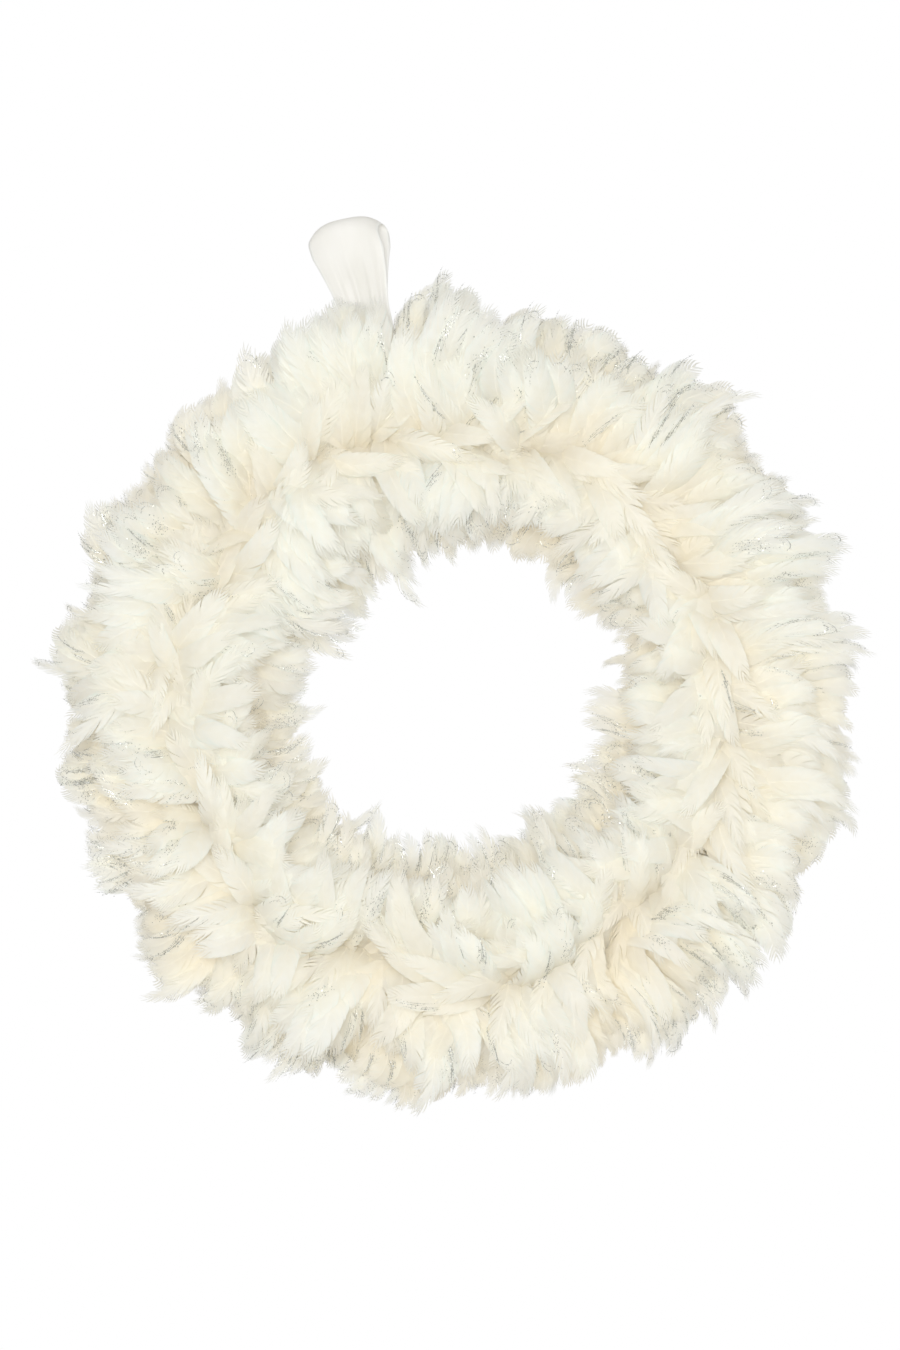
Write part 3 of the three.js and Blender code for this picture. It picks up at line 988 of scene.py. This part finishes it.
def ribbon():
    """The hanging ribbon: one closed strip, pleated where it is gathered and cupped at its fold."""
    rng = np.random.default_rng(31)
    y, z, side = ribbon_path()
    count = len(y)
    path = np.stack([y, z], axis=1)
    ahead = np.roll(path, -1, axis=0) - path
    length = np.linalg.norm(ahead, axis=1)
    along = np.concatenate([[0], np.cumsum(length)[:-1]])
    middle = path - np.roll(path, 1, axis=0)
    tangent = (ahead / length[:, None]) + middle / np.linalg.norm(middle, axis=1)[:, None]
    tangent /= np.linalg.norm(tangent, axis=1)[:, None]
    normal = np.stack([-tangent[:, 1], tangent[:, 0]], axis=1)

    height = smooth((z - HINGE_Z) / (LOOP_TOP - HINGE_Z))  # 0 at the foot of the loop, 1 at its top
    off_form = smooth((z - (CENTRE.z + RING_RADIUS + FORM_HALF_WIDTH + 2 * MM)) / (8 * MM))
    spread = np.clip((z - HINGE_Z - FLARE[0]) / (FLARE[1] - FLARE[0]), 0, 1)
    wide = GATHERED_WIDTH + (CUPPED_WIDTH - GATHERED_WIDTH) * (0.6 * spread + 0.4 * smooth(spread))
    q = np.linspace(-1, 1, ACROSS_STEPS + 1)
    phase = rng.uniform(0, 2 * math.pi)
    wave = np.sin(q * PLEATS * math.pi + phase) + 0.4 * np.sin(q * 2.3 * PLEATS * math.pi + 1)
    depth = PLEAT_DEPTH * (0.25 + 0.75 * off_form) * (1 - height) ** 1.4
    x = wide[:, None] / 2 * q[None] + (FAN * side * height)[:, None]
    top = smooth((z - (LOOP_TOP - CORNER_HEIGHT)) / CORNER_HEIGHT)
    points = np.empty((count, ACROSS_STEPS + 1, 3))
    points[..., 0] = x
    points[..., 1] = y[:, None] + depth[:, None] * wave[None] * off_form[:, None]
    points[..., 2] = z[:, None] - (CORNER_DROP * top)[:, None] * np.abs(q[None]) ** 3.5
    # round the form the pleats lie flat against it, and the loop's edges cup towards the wall
    flat = (depth * 0.35 * (1 - off_form))[:, None] * wave[None]
    points[..., 1] += normal[:, None, 0] * flat + (CUP * height)[:, None] * q[None] ** 2
    points[..., 2] += normal[:, None, 1] * flat
    ripple = RIPPLE * np.sin(z[:, None] * 260 + q[None] * 2.2 + side[:, None])
    points[..., 1] += ripple * height[:, None]

    rows = ACROSS_STEPS + 1
    faces = []
    for i in range(count):
        a, b = i * rows, (i + 1) % count * rows
        faces.extend((a + j, a + j + 1, b + j + 1, b + j) for j in range(ACROSS_STEPS))
    mesh = bpy.data.meshes.new("ribbon")
    mesh.from_pydata(points.reshape(-1, 3).tolist(), [], faces)
    values = {"along": np.repeat(along, rows), "across": np.tile(q * RIBBON_WIDTH / 2, count)}
    for key, value in values.items():
        mesh.attributes.new(key, "FLOAT", "POINT").data.foreach_set("value", value.astype(np.float32))
    mesh.materials.append(satin())
    piece = bpy.data.objects.new("ribbon", mesh)
    bpy.context.scene.collection.objects.link(piece)
    solid = piece.modifiers.new("thickness", "SOLIDIFY")
    solid.thickness = RIBBON_THICKNESS
    solid.offset = 0
    apply_modifiers(piece)
    piece.data.shade_smooth()
    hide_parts("hanging_loop", "ribbon_band")
    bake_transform(piece)


def apply_modifiers(piece):
    """Replaces a piece's mesh with what its modifiers make of it."""
    bpy.context.view_layer.update()
    evaluated = piece.evaluated_get(bpy.context.evaluated_depsgraph_get())
    final = bpy.data.meshes.new_from_object(evaluated)
    piece.modifiers.clear()
    piece.data = final


# ---------------------------------------------------------------- stage


ROOM_LIGHT = 0.55  # the white room's light on the object; the room itself looks white
PICTURE_GAMMA = 1.5
FLOOR_RADIUS = 2.6
FLOOR_DROP = 1.5  # below the ring's middle


def studio():
    """A white room with a pale floor under the wreath."""
    scene = bpy.context.scene
    scene.view_settings.view_transform = "Standard"
    scene.view_settings.gamma = PICTURE_GAMMA
    world = bpy.data.worlds.new("studio")
    world.use_nodes = True
    nodes, links = world.node_tree.nodes, world.node_tree.links
    background = nodes["Background"]
    background.inputs["Color"].default_value = (1, 1, 1, 1)
    seen = nodes.new("ShaderNodeLightPath").outputs["Is Camera Ray"]
    strength = maths(nodes, links, "MAXIMUM", seen, ROOM_LIGHT)
    links.new(strength, background.inputs["Strength"])
    scene.world = world
    bpy.ops.mesh.primitive_circle_add(vertices=96, radius=FLOOR_RADIUS, fill_type="NGON")
    floor = bpy.context.object
    floor.name = "studio_floor"
    floor.location = (CENTRE.x, CENTRE.y, CENTRE.z - FLOOR_DROP)
    material, nodes, links = new_material("studio_floor")
    pale = {"Base Color": (0.9, 0.9, 0.9, 1), "Roughness": 0.9}
    output(nodes, links, principled(nodes, links, pale))
    floor.data.materials.append(material)


def area_light(name, place, size, watts):
    """A round soft light at a place from the ring's middle, turned towards it."""
    data = bpy.data.lights.new(name, "AREA")
    data.shape = "DISK"
    data.size = size
    data.energy = watts
    lamp = bpy.data.objects.new(name, data)
    lamp.location = CENTRE + Vector(place)
    lamp.rotation_euler = (-Vector(place)).to_track_quat("-Z", "Y").to_euler()
    bpy.context.scene.collection.objects.link(lamp)


LENS = 85.0
SENSOR = 36.0
VIEW_HEIGHT = 0.675  # what the frame's height takes in at the wreath
LOOP_TILT = math.radians(12.6)  # how far left of upright the loop stands in the picture
VIEW_SHIFT = (-0.0015, 0.0155)  # the frame's middle from the ring's middle, right and up


def camera():
    """Straight in front of the wreath, turned so that the loop leans left in the picture."""
    data = bpy.data.cameras.new("camera")
    data.lens = LENS
    data.sensor_width = SENSOR
    made = bpy.data.objects.new("camera", data)
    right = Vector((math.cos(LOOP_TILT), 0, -math.sin(LOOP_TILT)))
    up = Vector((math.sin(LOOP_TILT), 0, math.cos(LOOP_TILT)))
    back = Vector((0, -1, 0))
    distance = VIEW_HEIGHT / SENSOR * LENS
    place = CENTRE + right * VIEW_SHIFT[0] + up * VIEW_SHIFT[1] + back * distance
    made.matrix_world = Matrix.Translation(place) @ Matrix((right, up, back)).transposed().to_4x4()
    bpy.context.scene.collection.objects.link(made)
    bpy.context.scene.camera = made


camera()
studio()
area_light("key", (-0.08, -1.93, 0.13), 0.7, 34)
area_light("fill", (1.2, -1.2, 0.1), 1.4, 3)
dress_form()
ribbon()
lay_plumage()
